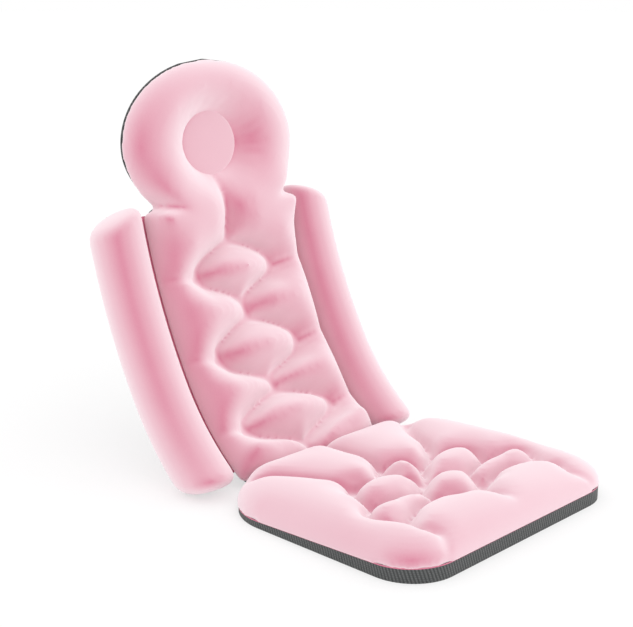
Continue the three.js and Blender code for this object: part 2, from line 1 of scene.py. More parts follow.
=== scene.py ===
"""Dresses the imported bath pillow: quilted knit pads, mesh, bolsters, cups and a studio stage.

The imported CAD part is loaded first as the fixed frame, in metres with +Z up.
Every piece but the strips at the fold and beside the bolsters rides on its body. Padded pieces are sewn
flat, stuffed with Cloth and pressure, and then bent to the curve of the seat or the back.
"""

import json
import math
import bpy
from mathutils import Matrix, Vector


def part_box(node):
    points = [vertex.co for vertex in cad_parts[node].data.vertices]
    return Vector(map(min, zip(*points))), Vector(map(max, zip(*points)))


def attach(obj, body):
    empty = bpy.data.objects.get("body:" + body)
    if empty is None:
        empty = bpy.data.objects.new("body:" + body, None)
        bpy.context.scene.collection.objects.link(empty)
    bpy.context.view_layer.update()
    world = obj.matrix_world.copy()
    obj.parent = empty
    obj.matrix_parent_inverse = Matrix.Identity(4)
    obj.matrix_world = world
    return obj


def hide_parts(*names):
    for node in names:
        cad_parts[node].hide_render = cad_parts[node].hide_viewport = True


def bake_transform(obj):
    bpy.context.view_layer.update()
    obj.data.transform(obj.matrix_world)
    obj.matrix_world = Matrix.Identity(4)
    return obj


bl_info = {
    "name": "Bath Pillow",
    "version": (1, 0, 0),
    "blender": (4, 5, 0),
    "location": "View3D > Sidebar > Bath Pillow",
    "description": "Dresses a packed full-body bath pillow with quilted pads, mesh panels, cups and a stage",
    "category": "Object",
}

import bmesh
import bpy
import numpy as np
from bpy.props import FloatProperty, FloatVectorProperty, IntProperty, PointerProperty
from mathutils import Matrix, Vector

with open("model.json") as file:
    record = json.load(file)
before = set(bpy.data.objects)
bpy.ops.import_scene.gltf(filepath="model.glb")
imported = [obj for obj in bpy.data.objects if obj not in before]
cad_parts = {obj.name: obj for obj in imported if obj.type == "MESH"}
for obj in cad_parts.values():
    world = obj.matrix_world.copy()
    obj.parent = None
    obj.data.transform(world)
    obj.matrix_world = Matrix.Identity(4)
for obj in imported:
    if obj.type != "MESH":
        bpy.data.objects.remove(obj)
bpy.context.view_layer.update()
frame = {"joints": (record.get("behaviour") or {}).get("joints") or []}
MM = 0.001

# Seat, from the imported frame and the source's own sizes
SEAT_LOW, SEAT_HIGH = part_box("seat_base")
SEAT_HALF_WIDTH = (SEAT_HIGH.x - SEAT_LOW.x) / 2
SEAT_DEPTH = SEAT_HIGH.y - SEAT_LOW.y
SEAT_REAR = SEAT_HIGH.y
SEAT_FRONT_RADIUS = 60 * MM
SEAT_REAR_RADIUS = 85 * MM
SEAT_ARC_STEPS = 14
SEAT_FOLD_HALF = SEAT_HALF_WIDTH - SEAT_REAR_RADIUS / 2
SEAT_GRID = (120, 100)
SEAT_FLOOR = -2 * MM
CORNER_REACH = 1.6
BORDER_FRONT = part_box("seat_border")[1].z
BORDER_REAR = 6 * MM
BORDER_ROWS = (0.35, 0.7, 1.0)
BORDER_SEAM = 0.8 * MM
BORDER_LONG_EDGE = 60 * MM
BORDER_CUTS = 9
RIB_SLANT = 0.35

# Back, measured along its curve from the lower edge
JOINTS = {joint["name"]: joint for joint in frame["joints"]}
FOLD = Vector(JOINTS["back_fold"]["pos_m"])
FOLD_TO_BACK = 9 * MM
BACK_LEAN = math.radians(34.8)
LUMBAR_RADIUS = 358 * MM
LUMBAR_LENGTH = 156 * MM
UPPER_RADIUS = 782 * MM
TORSO_HALF_WIDTH = 131 * MM
TORSO_LENGTH = 396 * MM
TORSO_CORNER = 14 * MM
SHOULDER_START = TORSO_LENGTH - 70 * MM
HEAD_HALF_WIDTH = 149 * MM
HEAD_HALF_HEIGHT = 115 * MM
HEAD_CENTRE = TORSO_LENGTH + 82 * MM
HEAD_LEAST_HALF = 2 * MM
BACK_LENGTH = HEAD_CENTRE + HEAD_HALF_HEIGHT
BACK_GRID = (96, 190)
BACK_FLOOR = -1.5 * MM
NECK_BLEND = 80 * MM
RECESS_HALF_WIDTH = 48 * MM
RECESS_HALF_HEIGHT = 44.5 * MM
RECESS_SLOPE = 1.6
RECESS_HELD = 3 * MM
PANEL_OVERLAP = 1 * MM
PANEL_MIDDLE = 2.6 * MM
PANEL_HALF_THICKNESS = 2.2 * MM
PANEL_FLATNESS = 0.5
PANEL_SEGMENTS = (72, 28)
MESH_GRID = (40, 120)
MESH_FACE = -0.5 * MM
MESH_THICKNESS = 2.5 * MM
MESH_TURN_IN = 7 * MM
MESH_HEAD_OUT = 6.5 * MM

# Bolsters
BOLSTER_RADIUS = 38.5 * MM
BOLSTER_SLACK = 2 * MM
BOLSTER_ACROSS = TORSO_HALF_WIDTH + 5 * MM + BOLSTER_RADIUS
BOLSTER_DROP = 4 * MM
BOLSTER_BOTTOM = 10.7 * MM
BOLSTER_TOP = TORSO_LENGTH - 2 * MM
BOLSTER_TOP_ROUND = 14 * MM
BOLSTER_FOOT_ROUND = 20 * MM
BOLSTER_ROUND_STEPS = 7
BOLSTER_ROWS = 12
BOLSTER_SPIN = 40
BOLSTER_SLANT = 0.4
BOLSTER_SEAM_HEIGHT = 2.5 * MM
BOLSTER_SEAM_REACH = 5 * MM
BOLSTER_SWELL = 2.5 * MM
FOOT_TILT = 0.6

# Strips at the fold and beside the bolsters
STRIP_DEPTH = 1.5 * MM
FOLD_STRIP_GRID = (30, 8)
FOLD_STRIP_LAP = 2 * MM
FOLD_STRIP_SAG = 1.2 * MM
FOLD_STRIP_THICKNESS = 1.2 * MM
WING_STRIP_GRID = (4, 60)
WING_STRIP_UNDER = 6.5 * MM
WING_STRIP_INTO = 4 * MM
WING_STRIP_FOOT = 12 * MM
WING_STRIP_TOP = 4 * MM
WING_STRIP_THICKNESS = 1.4 * MM

# Suction cups: across and along the back, then profiles of radius and height in millimetres
CUP_ROWS = {"lumbar": (82 * MM, 120 * MM), "shoulder": (82 * MM, 330 * MM), "head": (84 * MM, 522 * MM)}
CUP_SPIN = 48
CUP_PROFILE = (
    (0, 4.4), (4.6, 4.4), (6.4, 3.8), (7, 2.8), (6.6, 1.5), (4.5, 1.4), (4.5, -4.2), (5.2, -4.4),
    (7.6, -4.4), (8.4, -5.0), (9, -7.2), (10.4, -9.4), (13.6, -11.4), (18.4, -13.4), (22.6, -15.2),
    (25.4, -16.4), (26, -17.0), (25.7, -17.4), (22, -17.4), (19.5, -16.0), (14.3, -13.6), (8, -12.3),
    (0, -11.9),
)
EYELET_PROFILE = (
    (4.8, 1.1), (5.2, 1.35), (8.6, 1.3), (9.2, 0.9), (9.0, 0.3), (6, 0.3), (6, -3.3), (9.0, -3.3),
    (9.2, -3.7), (8.6, -4.05), (5.2, -4.1), (4.8, -3.9), (4.8, 1.1),
)
MERGE = 0.1 * MM

# Cloth: how it is sewn, held and stuffed. Softening draws the pads in, so they are grown back
HEM = 3 * MM
HEM_HELD = HEM + 1 * MM
HEM_EASE = 0.1 * MM
SEAT_GROWTH = 1.009
BACK_GROWTH = 1.008
FOLD_REACH = 90 * MM
FOLD_FADE = 50 * MM
CHAMBER_POWER = 2.2
FLANK_SHARE = 0.6
DOME_SHARE = 1.3
LINE_STEPS = 4
PIN_GAIN = 2
HELD_LEAST = 0.02
CLOTH_QUALITY = 5
KNIT_STRETCH = 0.2
KNIT_SHEAR = 0.1
KNIT_BEND = 0.005
SEAM_ROUNDS = 14

# Materials: the nap is finer than a pixel, so its grain is drawn at 2 mm to show at all
GRAIN = 2 * MM
CLOUD = 45 * MM
# Painted sheen: how quickly the pale nap colour comes in as the cloth turns away from the view
NAP_SHEEN_POWER = 0.55
THREAD = 1.2 * MM
VINYL_FLOW = 14 * MM
PRESS_MARKS = 1.5 * MM
# A wave node repeats every pi / 10 of its scaled coordinate
WAVE = math.pi / 10
KNOT_SPACING = 0.6

# Stage. The glow is the share of the paper's white that the camera sees without the shadow
CAMERA_PLACE = Vector((-1172.4, -1081.5, 624.9)) * MM
CAMERA_AIM = Vector((-1.6, 53.1, 215.4)) * MM
CAMERA_LENS = 72.2
CAMERA_SENSOR = 36
PAPER_GLOW = 0.6
PAPER_WHITE = (0.96, 0.96, 0.96, 1)
WHITE = (1, 1, 1, 1)
FLOOR_HALF = 40
FLOOR_LEVEL = -0.3 * MM

# Sewn creases of the right half: depth at the two ends, then points across and along, in millimetres.
# On the seat, along is counted from the rear edge towards the front.
SEAT_CREASES = (
    ((0.9, 1.0), ((0, 4), (0, 60), (0, 113))),
    ((1.0, 1.0), ((0, 113), (16, 118), (28, 132), (28, 145))),
    ((1.0, 1.0), ((28, 145), (50, 143), (76, 134))),
    ((1.0, 0.7), ((76, 134), (93, 110), (107, 80), (128, 48), (146, 30))),
    ((1.0, 0.9), ((76, 134), (101, 150), (113, 172), (108, 198))),
    ((1.0, 1.0), ((28, 145), (23, 162), (0, 184))),
    ((1.0, 1.0), ((0, 184), (20, 193), (38, 204), (66, 205), (108, 198))),
    ((1.0, 1.0), ((38, 204), (43, 225), (34, 247))),
    ((0.8, 0.6), ((108, 198), (135, 205), (150, 222), (144, 246), (128, 258))),
    ((1.0, 0.8), ((34, 247), (60, 241), (95, 244), (128, 258))),
    ((1.0, 1.0), ((34, 247), (18, 254), (0, 264))),
    ((1.0, 0.0), ((0, 264), (0, 290), (0, 318))),
    ((0.8, 0.2), ((128, 258), (136, 284), (130, 310), (142, 330))),
)
# On the back, along is counted from the lower edge. The last three are soft dimples beside the tongues.
BACK_CREASES = (
    ((1.0, 1.0), ((0, 0), (0, 28))),
    ((1.0, 1.0), ((0, 28), (18, 38), (42, 47), (66, 56), (82, 68))),
    ((1.0, 1.0), ((82, 68), (78, 82), (54, 95), (26, 105), (0, 112))),
    ((1.0, 1.0), ((0, 112), (0, 132))),
    ((1.0, 1.0), ((0, 132), (14, 140), (36, 148), (60, 158), (74, 174))),
    ((1.0, 1.0), ((74, 174), (70, 191), (50, 204), (26, 215), (0, 224))),
    ((1.0, 1.0), ((0, 224), (0, 249))),
    ((1.0, 1.0), ((0, 249), (14, 260), (36, 270), (58, 279), (69, 291))),
    ((1.0, 1.0), ((69, 291), (65, 305), (48, 318), (24, 329), (0, 337))),
    ((1.0, 0.3), ((0, 337), (0, 385), (0, 428))),
    ((0.5, 0.1), ((82, 68), (120, 74))),
    ((0.5, 0.1), ((74, 174), (118, 182))),
    ((0.5, 0.1), ((69, 291), (118, 298))),
)


def linear(hex_colour):
    """An sRGB hex colour as linear red, green, blue and alpha."""
    parts = [int(hex_colour[i:i + 2], 16) / 255 for i in (1, 3, 5)]
    return (*(p / 12.92 if p <= 0.04045 else ((p + 0.055) / 1.055) ** 2.4 for p in parts), 1.0)


def length_setting(name, default, description):
    """A size in metres that the sidebar shows as a length."""
    return FloatProperty(name=name, description=description, default=default, min=0.0, unit="LENGTH")


def colour_setting(name, default, description):
    """A colour that the sidebar shows with a picker."""
    return FloatVectorProperty(
        name=name, description=description, default=linear(default), subtype="COLOR", size=4, min=0, max=1
    )


class PillowSizes(bpy.types.PropertyGroup):
    """Sizes of the padding and the mesh."""

    seat_crown: length_setting("Seat crown", 36 * MM, "Height of the seat's chambers above the hem")
    seat_crease: length_setting("Seat crease", 26 * MM, "Depth of the seat's sewn creases")
    seat_lobe: length_setting("Seat lobe", 31 * MM, "Distance over which a seat chamber rounds over")
    seat_edge: length_setting("Seat edge", 48 * MM, "Distance over which the seat rises from its hem")
    corner_edge: length_setting("Corner edge", 100 * MM, "Rounding of the seat's edge at the front corners")
    back_crown: length_setting("Back crown", 42 * MM, "Height of the back's chambers above the hem")
    back_crease: length_setting("Back crease", 34 * MM, "Depth of the back's sewn creases")
    back_lobe: length_setting("Back lobe", 33 * MM, "Distance over which a back chamber rounds over")
    back_edge: length_setting("Back edge", 56 * MM, "Distance over which the back rises from its hem")
    shoulder_edge: length_setting("Shoulder edge", 20 * MM, "Rounding of the torso's edge at the shoulders")
    head_crown: length_setting("Head crown", 36 * MM, "Height of the head ring above its hem")
    head_edge: length_setting("Head edge", 62 * MM, "Distance over which the head ring rises from its hem")
    recess_flare: length_setting("Recess flare", 50 * MM, "Distance over which the ring falls to the recess")
    fold_edge: length_setting("Fold edge", 24 * MM, "Distance over which a pad rises from the fold")
    fold_bulge: length_setting("Fold bulge", 7 * MM, "How far the pads swell towards each other")
    seam_width: length_setting("Seam width", 10 * MM, "Distance over which a seam pulls the cloth down")
    seam_depth: length_setting("Seam depth", 10 * MM, "How far a seam pulls the stuffed cloth down")
    pin_width: length_setting("Pin width", 18 * MM, "Distance from a seam within which the cloth is held")
    soften_rounds: IntProperty(
        name="Soften rounds", default=28, min=0, description="How often the stuffed cloth is evened out"
    )
    cloth_cell: length_setting("Cloth cell", 4 * MM, "Spacing of the cloth that is stuffed")
    swell: length_setting("Swell", 10 * MM, "Furthest that stuffing may push the cloth")
    rib_pitch: length_setting("Rib pitch", 4.2 * MM, "Spacing of the mesh's ribs")


class PillowColours(bpy.types.PropertyGroup):
    """Colours of the fabrics and fittings."""

    knit: colour_setting("Knit", "#cd7f95", "Brushed knit, seen straight on")
    knit_light: colour_setting("Knit light", "#d892a5", "Paler fibres of the brushed knit")
    # The nap colour is painted sheen, mixed over the knit at low angles of view
    nap_sheen: colour_setting("Nap", "#f9ebef", "Tips of the raised fibres, seen at a low angle")
    # The seam pink is the real sewn edge on the seat's hem, and painted shade on the wing strips in the
    # crease beside the bolsters
    seam: colour_setting("Seam", "#dc7592", "Thread and turned edge of the sewn seams")
    mesh_light: colour_setting("Mesh ribs", "#686a6a", "Raised ribs of the spacer mesh")
    mesh_dark: colour_setting("Mesh ground", "#3a3c3c", "Ground of the spacer mesh between the ribs")
    cup: colour_setting("Cup", "#dfe8ea", "Clear soft vinyl of the cups")
    eyelet: colour_setting("Eyelet", "#c9c6bf", "Nickel plate of the eyelets")


def sizes():
    """The sizes set in the sidebar."""
    return bpy.context.scene.pillow_sizes


def colours():
    """The colours set in the sidebar."""
    return bpy.context.scene.pillow_colours


# Places on the seat and the back: columns of across, along and height above the mesh, in metres


def border_top(along):
    """Top of the mesh border above the floor, high in front and low at the fold."""
    return BORDER_REAR + (BORDER_FRONT - BORDER_REAR) * along / SEAT_DEPTH


def on_seat(places):
    """Flat places on the seat's border, moved to the seat."""
    across, along, height = places.T
    return np.column_stack((across, SEAT_REAR - along, border_top(along) + height))


def lean_at(along):
    """Angle of the back above the floor at a distance along it."""
    lumbar = np.minimum(along, LUMBAR_LENGTH) / LUMBAR_RADIUS
    return BACK_LEAN + lumbar + np.maximum(along - LUMBAR_LENGTH, 0) / UPPER_RADIUS


def on_back(places):
    """Flat places on the back, bent round its two arcs."""
    across, along, height = places.T
    middle = lean_at(np.minimum(along, LUMBAR_LENGTH))
    lean = lean_at(along)
    y = FOLD.y + FOLD_TO_BACK * math.cos(BACK_LEAN)
    y = y + LUMBAR_RADIUS * (np.sin(middle) - math.sin(BACK_LEAN))
    y = y + UPPER_RADIUS * (np.sin(lean) - np.sin(middle))
    z = FOLD.z + FOLD_TO_BACK * math.sin(BACK_LEAN)
    z = z + LUMBAR_RADIUS * (math.cos(BACK_LEAN) - np.cos(middle))
    z = z + UPPER_RADIUS * (np.cos(middle) - np.cos(lean))
    return np.column_stack((across, y - height * np.sin(lean), z + height * np.cos(lean)))


# Outlines


def rounded_half_width(along, length, half, low_radius, high_radius):
    """Half width of a rounded rectangle at a distance along it."""
    low = np.maximum(0, low_radius - along)
    high = np.maximum(0, high_radius - (length - along))
    cut_low = low_radius - np.sqrt(np.maximum(0, low_radius**2 - low**2))
    cut_high = high_radius - np.sqrt(np.maximum(0, high_radius**2 - high**2))
    return half - cut_low - cut_high


def inside_rounded(across, along, length, half, low_radius, high_radius):
    """How far inside a rounded rectangle a place lies, negative outside it."""
    radius = np.where(along < length / 2, low_radius, high_radius)
    x = np.abs(across) - (half - radius)
    y = np.abs(along - length / 2) - (length / 2 - radius)
    corner = np.hypot(np.maximum(x, 0), np.maximum(y, 0))
    return radius - corner - np.minimum(np.maximum(x, y), 0)


def seat_half_width(along):
    """Half width of the seat at a distance from its rear edge."""
    return rounded_half_width(along, SEAT_DEPTH, SEAT_HALF_WIDTH, SEAT_REAR_RADIUS, SEAT_FRONT_RADIUS)


def inside_seat(across, along):
    """How far inside the seat's outline a place lies."""
    return inside_rounded(across, along, SEAT_DEPTH, SEAT_HALF_WIDTH, SEAT_REAR_RADIUS, SEAT_FRONT_RADIUS)


def inside_oval(across, along, half_width, half_height):
    """How far inside an oval about the head's centre a place lies, negative outside it."""
    x = across / half_width
    y = (along - HEAD_CENTRE) / half_height
    # Kept off zero in the very middle
    share = np.maximum(np.hypot(x, y), 0.01)
    slope = np.hypot(x / half_width, y / half_height) / share
    return (1 - share) / slope


def back_half_width(along):
    """Half width of the torso or the head, whichever is wider there."""
    y = (along - HEAD_CENTRE) / HEAD_HALF_HEIGHT
    head = HEAD_HALF_WIDTH * np.sqrt(np.maximum(0, 1 - y * y))
    torso = rounded_half_width(along, TORSO_LENGTH, TORSO_HALF_WIDTH, TORSO_CORNER, TORSO_CORNER)
    return np.maximum(np.maximum(head, HEAD_LEAST_HALF), np.where(along > TORSO_LENGTH, 0, torso))


def inside_back(across, along):
    """How far inside the back's outline a place lies."""
    torso = inside_rounded(across, along, TORSO_LENGTH, TORSO_HALF_WIDTH, TORSO_CORNER, TORSO_CORNER)
    head = inside_oval(across, along, HEAD_HALF_WIDTH, HEAD_HALF_HEIGHT)
    inside = np.maximum(torso, head)
    # The two run into each other at the neck without a crease
    neck = np.maximum(NECK_BLEND - np.abs(torso - head), 0) ** 2 / (4 * NECK_BLEND)
    return inside + neck * np.clip(inside / (NECK_BLEND / 4), 0, 1)


# Padding


def edge_rise(inside, width):
    """Quarter-round rise of a stuffed edge: 0 at the edge, 1 once the width is reached."""
    share = np.clip(inside / width, 0, 1)
    return np.sqrt(1 - (1 - share) ** 2)


def lobe_rise(gap, width, power=CHAMBER_POWER):
    """Rise of a stuffed chamber from a sewn line: steep at the line, level once the width is reached."""
    return 1 - (1 - np.clip(gap / width, 0, 1)) ** power


def groove_rise(gap, width):
    """Rise from a sewn line that is rounded at the line and level once the width is reached."""
    return 1 - (1 - np.clip(gap / width, 0, 1) ** 2) ** CHAMBER_POWER


def chamber_rise(gap, width):
    """Rise of a chamber before it is sewn: half of it a steep flank and half a wide dome."""
    return (groove_rise(gap, FLANK_SHARE * width) + groove_rise(gap, DOME_SHARE * width)) / 2


def smooth_line(points):
    """A sewn line through a few points, in metres, rounded by a Catmull-Rom curve."""
    knots = np.array([points[0], *points, points[-1]], float) * MM
    shares = np.linspace(0, 1, LINE_STEPS, endpoint=False)[:, None]
    line = []
    for a, b, c, d in zip(knots, knots[1:], knots[2:], knots[3:]):
        slope, bend, twist = c - a, 2 * a - 5 * b + 4 * c - d, 3 * b - a - 3 * c + d
        line.extend(b + (slope * shares + bend * shares**2 + twist * shares**3) / 2)
    return np.array([*line, knots[-1]])


def sewn_share(creases, width, across, along, rise=lobe_rise):
    """How firmly the sewn lines hold a place: their depth on a line, fading to 0 at the width."""
    x = np.abs(across)
    free = np.ones_like(x)
    for (first, last), points in creases:
        line = smooth_line(points)
        count = len(line) - 1
        held = np.zeros_like(x)
        for i, (a, b) in enumerate(zip(line, line[1:])):
            run = b - a
            t = np.clip(((x - a[0]) * run[0] + (along - a[1]) * run[1]) / (run @ run), 0, 1)
            gap = np.hypot(x - a[0] - t * run[0], along - a[1] - t * run[1])
            depth = first + (last - first) * (i + t) / count
            held = np.maximum(held, depth * (1 - rise(gap, width)))
        # Lines add up smoothly, so that a chamber between two of them has no ridge
        free *= 1 - held
    return 1 - free


def smooth_step(share):
    """A share from 0 to 1, eased at both ends."""
    share = np.clip(share, 0, 1)
    return share * share * (3 - 2 * share)


def near_fold(across, along, half):
    """1 in the middle of a pad's edge at the fold, fading to 0 away from it and towards its ends."""
    return smooth_step(1 - along / FOLD_REACH) * smooth_step((half - np.abs(across)) / FOLD_FADE)


def over_fold(points, half, crown):
    """Places of a pad swollen over the fold, most at half its height."""
    across, along, height = points.T
    bulge = sizes().fold_bulge * near_fold(across, along, half)
    bulge = bulge * np.sin(math.pi * np.clip(height / crown, 0, 1))
    return np.column_stack((across, along - bulge, height))


def seat_top(across, along):
    """Height of the seat's cloth above its border before it is stuffed."""
    own = sizes()
    pulled = own.seat_crease * sewn_share(SEAT_CREASES, own.seat_lobe, across, along)
    from_corner = np.hypot(SEAT_HALF_WIDTH - np.abs(across), SEAT_DEPTH - along)
    corner = smooth_step(1 - from_corner / (CORNER_REACH * own.corner_edge))
    edge = own.seat_edge + (own.corner_edge - own.seat_edge) * corner
    edge = edge + (own.fold_edge - edge) * near_fold(across, along, SEAT_FOLD_HALF)
    return HEM + (own.seat_crown - pulled) * edge_rise(inside_seat(across, along), edge)


def head_share(along):
    """0 on the torso, 1 from the head's centre upwards."""
    return smooth_step((along - TORSO_LENGTH) / (HEAD_CENTRE - TORSO_LENGTH))


def back_top(across, along):
    """Height of the back's cloth above its mesh before it is stuffed."""
    own = sizes()
    head = head_share(along)
    pulled = own.back_crease * sewn_share(BACK_CREASES, own.back_lobe, across, along, chamber_rise)
    crown = own.back_crown + (own.head_crown - own.back_crown) * head - pulled
    shoulder = smooth_step((along - SHOULDER_START) / (TORSO_LENGTH - SHOULDER_START))
    torso_edge = own.back_edge + (own.shoulder_edge - own.back_edge) * shoulder
    edge = torso_edge + (own.head_edge - torso_edge) * head
    edge = edge + (own.fold_edge - edge) * near_fold(across, along, TORSO_HALF_WIDTH)
    outside_recess = -inside_oval(across, along, RECESS_HALF_WIDTH, RECESS_HALF_HEIGHT)
    inside = inside_back(across, along)
    sides = edge_rise(inside, edge) * head + lobe_rise(inside, edge) * (1 - head)
    rise = sides * lobe_rise(outside_recess, own.recess_flare, RECESS_SLOPE)
    return HEM * (outside_recess > 0) + crown * rise


def new_object(name, shape, *materials):
    """A smooth-shaded object at the origin, made from a bmesh."""
    mesh = bpy.data.meshes.new(name)
    shape.to_mesh(mesh)
    shape.free()
    for material in materials:
        mesh.materials.append(material)
    mesh.shade_smooth()
    obj = bpy.data.objects.new(name, mesh)
    bpy.context.scene.collection.objects.link(obj)
    return obj


def points_of(mesh):
    """The places of a mesh's vertices, one row each."""
    flat = np.empty(3 * len(mesh.vertices), np.float32)
    mesh.vertices.foreach_get("co", flat)
    return flat.reshape(-1, 3).astype(float)


def set_points(mesh, points):
    """Moves a mesh's vertices to new places."""
    mesh.vertices.foreach_set("co", points.astype(np.float32).ravel())
    mesh.update()


def unit_grid(columns, rows):
    """A flat grid as a bmesh, with its vertices' places from -1 to 1 across and from 0 to 1 along."""
    shape = bmesh.new()
    bmesh.ops.create_grid(shape, x_segments=columns, y_segments=rows, size=1)
    places = np.array([vertex.co for vertex in shape.verts])
    return shape, places[:, 0], (places[:, 1] + 1) / 2


def move_verts(shape, *columns):
    """Moves a bmesh's vertices to places given by their columns."""
    for vertex, place in zip(shape.verts, np.column_stack(columns)):
        vertex.co = place


def new_items(made, kind):
    """The vertices, edges or faces among what a bmesh operator made."""
    return [item for item in made["geom"] if isinstance(item, kind)]


def rim_of(shape):
    """The open edges of a bmesh."""
    return [edge for edge in shape.edges if edge.is_boundary]


def flat_pad(grid, length, half_width, top, floor):
    """A closed flat-bottomed pad as a bmesh: a grid fitted to an outline, raised to its top and walled."""
    shape, aside, share = unit_grid(*grid)
    along = length * share
    across = half_width(along) * aside
    move_verts(shape, across, along, top(across, along))
    wall = bmesh.ops.extrude_edge_only(shape, edges=rim_of(shape))
    for vertex in new_items(wall, bmesh.types.BMVert):
        vertex.co.z = floor
    bmesh.ops.holes_fill(shape, edges=rim_of(shape), sides=0)
    bmesh.ops.recalc_face_normals(shape, faces=shape.faces)
    return shape


def spun_shape(profile, axis, steps):
    """A closed round shape as a bmesh: a chain of places spun round an axis through the origin."""
    shape = bmesh.new()
    chain = [shape.verts.new(place) for place in profile]
    edges = [shape.edges.new(pair) for pair in zip(chain, chain[1:])]
    bmesh.ops.spin(
        shape, geom=chain + edges, cent=(0, 0, 0), axis=axis, angle=2 * math.pi, steps=steps, use_merge=True
    )
    bmesh.ops.remove_doubles(shape, verts=shape.verts, dist=MERGE)
    bmesh.ops.recalc_face_normals(shape, faces=shape.faces)
    return shape


def thicken(obj, thickness, offset):
    """Gives a flat piece its thickness."""
    wall = obj.modifiers.new("thickness", "SOLIDIFY")
    wall.thickness = thickness
    wall.offset = offset


def apply_modifiers(obj):
    """Replaces an object's mesh by what its modifiers make of it."""
    made = bpy.data.meshes.new_from_object(obj.evaluated_get(bpy.context.evaluated_depsgraph_get()))
    obj.modifiers.clear()
    obj.data = made
    made.shade_smooth()


def even_cloth(obj, cell):
    """Replaces a closed mesh by one of even cells, so that it stuffs evenly."""
    remesh = obj.modifiers.new("even_cloth", "REMESH")
    remesh.mode = "VOXEL"
    remesh.voxel_size = cell
    apply_modifiers(obj)


def stuff(obj, held, swell, pressure=4.0, frames=20):
    """Swells a closed cloth with pressure. Held points stay, and no point moves further than the swell."""
    rest = points_of(obj.data)
    group = obj.vertex_groups.new(name="sewn")
    for index in np.flatnonzero(held > HELD_LEAST):
        group.add([int(index)], float(held[index]), "REPLACE")
    cloth = obj.modifiers.new("stuffing", "CLOTH")
    cloth.settings.quality = CLOTH_QUALITY
    cloth.settings.tension_stiffness = KNIT_STRETCH
    cloth.settings.compression_stiffness = KNIT_STRETCH
    cloth.settings.shear_stiffness = KNIT_SHEAR
    cloth.settings.bending_stiffness = KNIT_BEND
    cloth.settings.vertex_group_mass = group.name
    cloth.settings.use_pressure = True
    cloth.settings.uniform_pressure_force = pressure
    cloth.settings.effector_weights.gravity = 0
    cloth.collision_settings.use_collision = False
    cloth.point_cache.frame_start = 1
    cloth.point_cache.frame_end = frames
    for number in range(1, frames + 1):
        bpy.context.scene.frame_set(number)
    swollen = obj.evaluated_get(bpy.context.evaluated_depsgraph_get())
    moved = points_of(swollen.to_mesh()) - rest
    swollen.to_mesh_clear()
    far = np.linalg.norm(moved, axis=1, keepdims=True)
    obj.modifiers.clear()
    obj.vertex_groups.clear()
    set_points(obj.data, rest + moved * swell / np.maximum(far, swell))
    bpy.context.scene.frame_set(1)


def soften(obj, rounds):
    """Evens out a pad's cloth."""
    smooth = obj.modifiers.new("soften", "SMOOTH")
    smooth.factor = 0.5
    smooth.iterations = rounds
    apply_modifiers(obj)


def finish_pad(obj, creases, place):
    own = sizes()
    rounding = obj.modifiers.new("rounding", "SUBSURF")
    rounding.levels = 1
    rounding.render_levels = 1
    soften(obj, own.soften_rounds)
    if creases:
        across, along, height = points_of(obj.data).T
        pulled = own.seam_depth * sewn_share(creases, own.seam_width, across, along, groove_rise)
        # A seam eases towards the hem, which no cloth is pulled below
        above = np.maximum(height - HEM, HEM_EASE)
        height = np.where(height > HEM, HEM + above * np.exp(-pulled / above), height)
        set_points(obj.data, np.column_stack((across, along, height)))
        soften(obj, SEAM_ROUNDS)
    set_points(obj.data, place(points_of(obj.data)))
    obj.data.materials.clear()
    obj.data.materials.append(brushed_knit())


# Materials


def add_node(tree, kind, inputs=None, **settings):
    """A node of a kind with its settings. An input takes a value, or another node's output as a link."""
    node = tree.nodes.new(kind)
    for name, value in settings.items():
        setattr(node, name, value)
    for name, value in (inputs or {}).items():
        if isinstance(value, bpy.types.NodeSocket):
            tree.links.new(value, node.inputs[name])
        else:
            node.inputs[name].default_value = value
    return node


def new_material(name):
    """A material and its empty node tree, or no tree where the material is already made."""
    material = bpy.data.materials.get(name)
    if material:
        return material, None
    material = bpy.data.materials.new(name)
    material.use_nodes = True
    material.node_tree.nodes.clear()
    return material, material.node_tree


def noise(tree, size, detail):
    """A noise of a size in metres on the object's own coordinates."""
    where = add_node(tree, "ShaderNodeTexCoord").outputs["Object"]
    inputs = {"Vector": where, "Scale": 1 / size, "Detail": detail}
    return add_node(tree, "ShaderNodeTexNoise", inputs).outputs["Fac"]


def bumped(tree, height, strength, distance):
    """The normals of a surface raised by a height."""
    inputs = {"Height": height, "Strength": strength, "Distance": distance}
    return add_node(tree, "ShaderNodeBump", inputs).outputs[0]


def blended_colour(tree, share, first, second):
    """A colour between two, by a share."""
    inputs = {"Factor": share, 6: tuple(first), 7: tuple(second)}
    return add_node(tree, "ShaderNodeMix", inputs, data_type="RGBA").outputs[2]


def uneven_shine(tree, share, low, high):
    """A roughness between two, by a share."""
    inputs = {"Value": share, "To Min": low, "To Max": high}
    return add_node(tree, "ShaderNodeMapRange", inputs).outputs[0]


def principled(tree, inputs):
    """A principled surface with its inputs."""
    return add_node(tree, "ShaderNodeBsdfPrincipled", inputs).outputs[0]


def show(tree, surface):
    """Sets what a material shows."""
    add_node(tree, "ShaderNodeOutputMaterial", {"Surface": surface})


